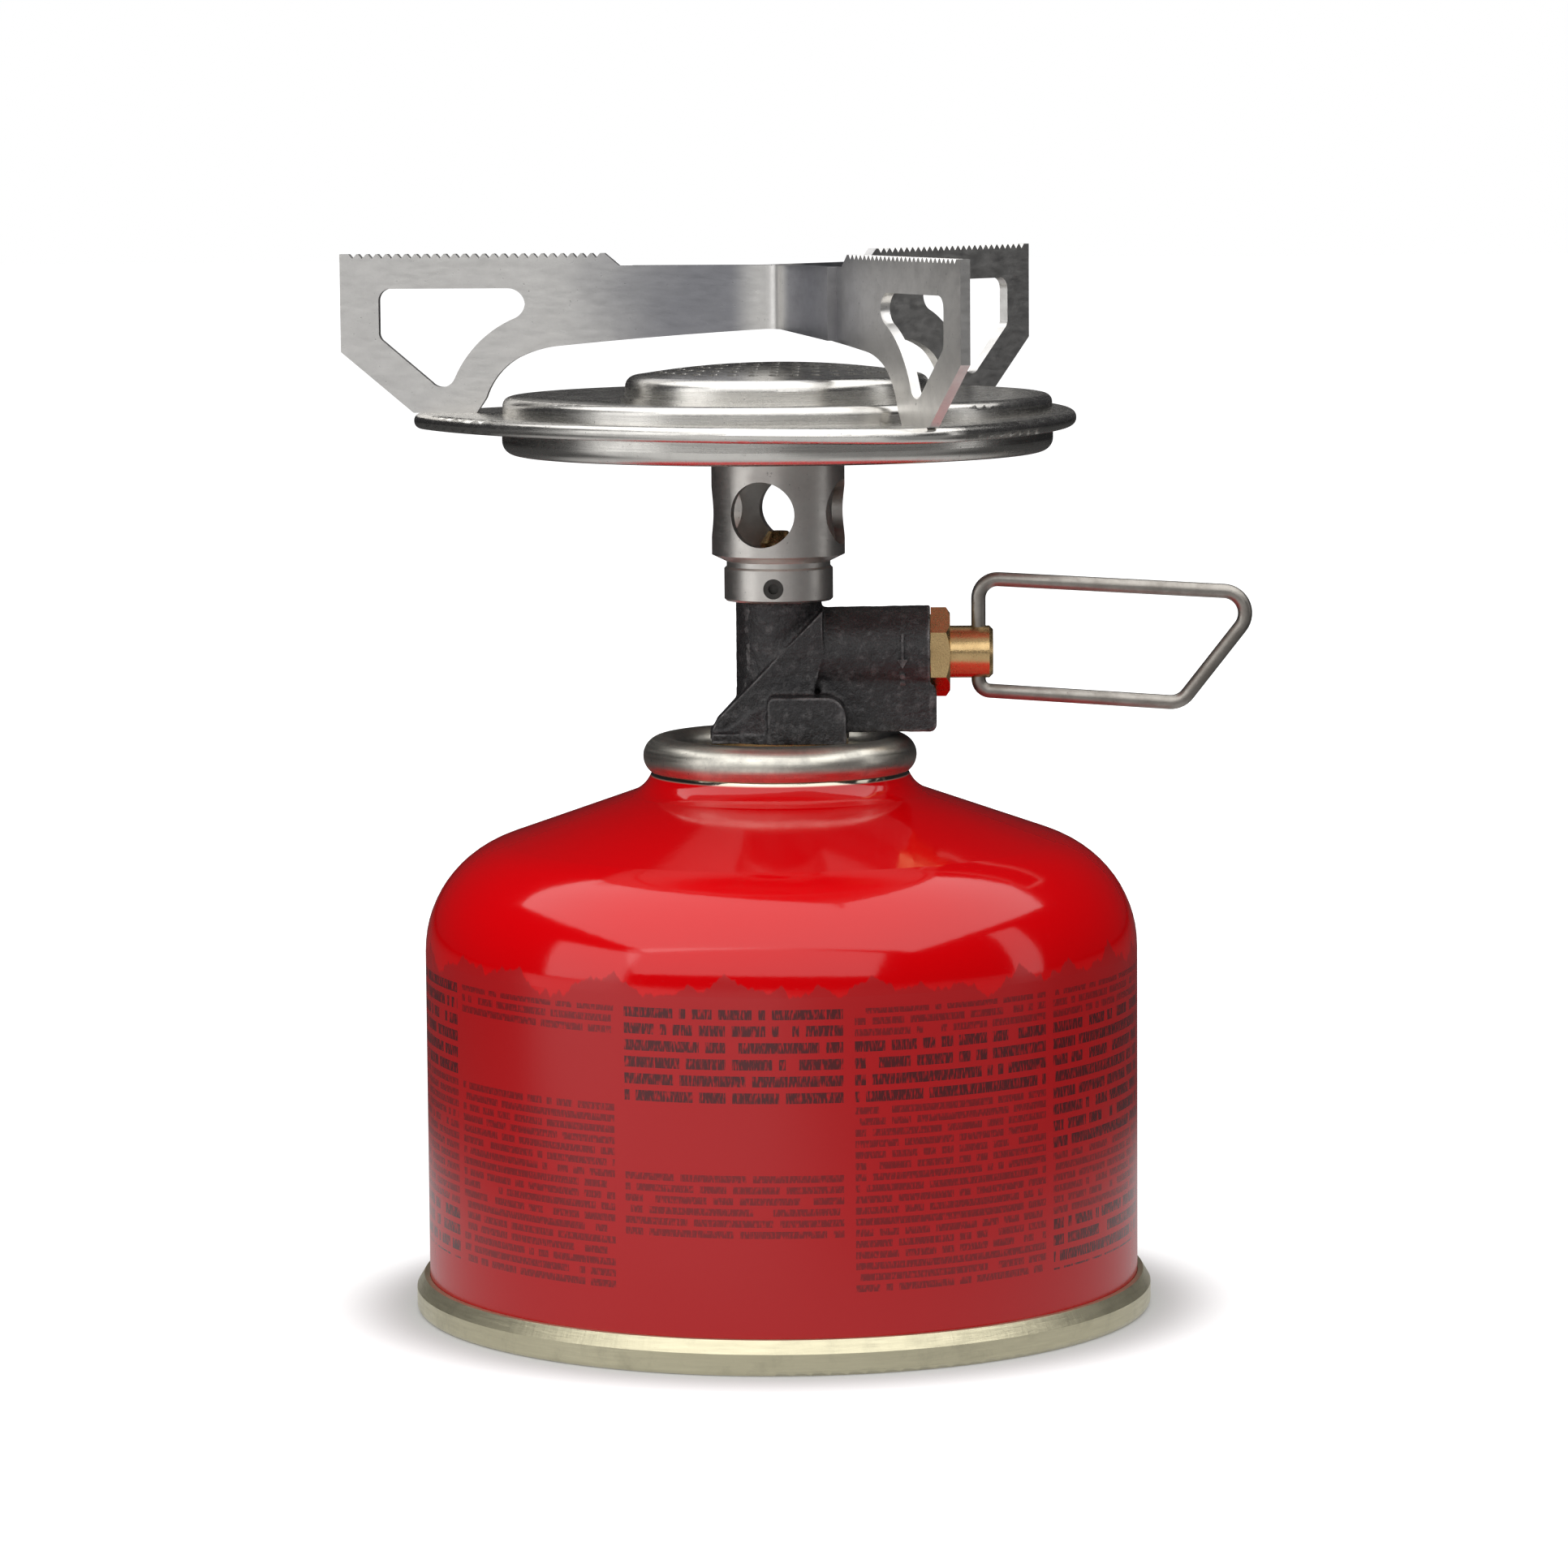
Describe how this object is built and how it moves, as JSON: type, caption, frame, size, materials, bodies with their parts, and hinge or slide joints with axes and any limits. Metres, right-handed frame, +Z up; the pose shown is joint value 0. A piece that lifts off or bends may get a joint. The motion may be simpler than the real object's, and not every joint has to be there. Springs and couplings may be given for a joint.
{
  "type": "camping stove",
  "caption": "Screw-on gas camping stove with pot supports, flame valve and folding wire handle, standing on its gas canister.",
  "frame": {"origin": "centre of the canister's base seam, on the surface that it stands on", "axes": "+Z up along the canister and burner axis, +X towards the valve spindle and its wire handle"},
  "size_m": [0.1106, 0.0937, 0.1283],
  "materials": {
    "red_enamel": "gloss red lacquer",
    "tinplate": "lacquered tinplate",
    "seal_rubber": "matte nitrile rubber",
    "valve_plastic": "natural acetal",
    "spring_steel": "drawn wire",
    "brass": "turned brass",
    "filter_bronze": "sintered bronze",
    "black_casting": "semi-gloss black on a rough casting",
    "turned_steel": "turned stainless steel",
    "screw_steel": "dark oxide",
    "burner_steel": "satin stainless steel",
    "strip_steel": "satin stainless strip with small pits",
    "wire_steel": "bright stainless wire"
  },
  "bodies": {
    "canister": {"canister_shell": "red_enamel", "canister_end": "tinplate", "canister_seam": "tinplate", "mounting_cup": "tinplate", "cup_gasket": "seal_rubber", "valve_housing": "valve_plastic", "stem_gasket": "seal_rubber", "valve_spring": "spring_steel"},
    "poppet": {"canister_poppet": "brass"},
    "inlet_seal": {"inlet_seal_ring": "seal_rubber"},
    "stove": {"inlet_adapter": "brass", "inlet_pin": "brass", "inlet_filter": "filter_bronze", "valve_body": "black_casting", "gland_nut": "brass", "jet": "brass", "mixing_tube": "turned_steel", "tube_grub_screw": "screw_steel", "burner_pan": "burner_steel", "burner_flange": "burner_steel", "burner_shell": "burner_steel", "burner_cap": "burner_steel", "flame_screen": "burner_steel", "pot_support_left": "strip_steel", "pot_support_front": "strip_steel", "pot_support_rear": "strip_steel"},
    "spindle_seal": {"spindle_seal_ring": "seal_rubber"},
    "spindle": {"valve_spindle": "brass"},
    "handle": {"wire_handle": "wire_steel"}
  },
  "joints": [
    {"name": "canister_poppet_slide", "type": "slide", "parent": "canister", "child": "poppet", "axis": [0, 0, 1], "range_m": [-0.0012, 0], "stiffness_N_per_m": 500, "springref_m": 0.001, "deforming": ["valve_spring"]},
    {"name": "stove_lift", "type": "slide", "parent": "canister", "child": "inlet_seal", "axis": [0, 0, 1], "range_m": [0, 0.00544]},
    {"name": "stove_turn", "type": "hinge", "parent": "inlet_seal", "child": "stove", "pos_m": [0, 0, 0.0702], "axis": [0, 0, 1], "range_deg": [0, 2160]},
    {"name": "spindle_slide", "type": "slide", "parent": "stove", "child": "spindle_seal", "axis": [1, 0, 0], "range_m": [0, 0.00188]},
    {"name": "spindle_turn", "type": "hinge", "parent": "spindle_seal", "child": "spindle", "pos_m": [0.0161, 0, 0.0798], "axis": [1, 0, 0], "range_deg": [0, 900]},
    {"name": "handle_fold", "type": "hinge", "parent": "spindle", "child": "handle", "pos_m": [0.0242, 0, 0.0798], "axis": [0, 0, 1], "range_deg": [-110, 110]}
  ],
  "couplings": [
    {"joint": "stove_lift", "follows": "stove_turn", "m_per_rad": 0.00014435},
    {"joint": "spindle_slide", "follows": "spindle_turn", "m_per_rad": 0.00011937}
  ]
}
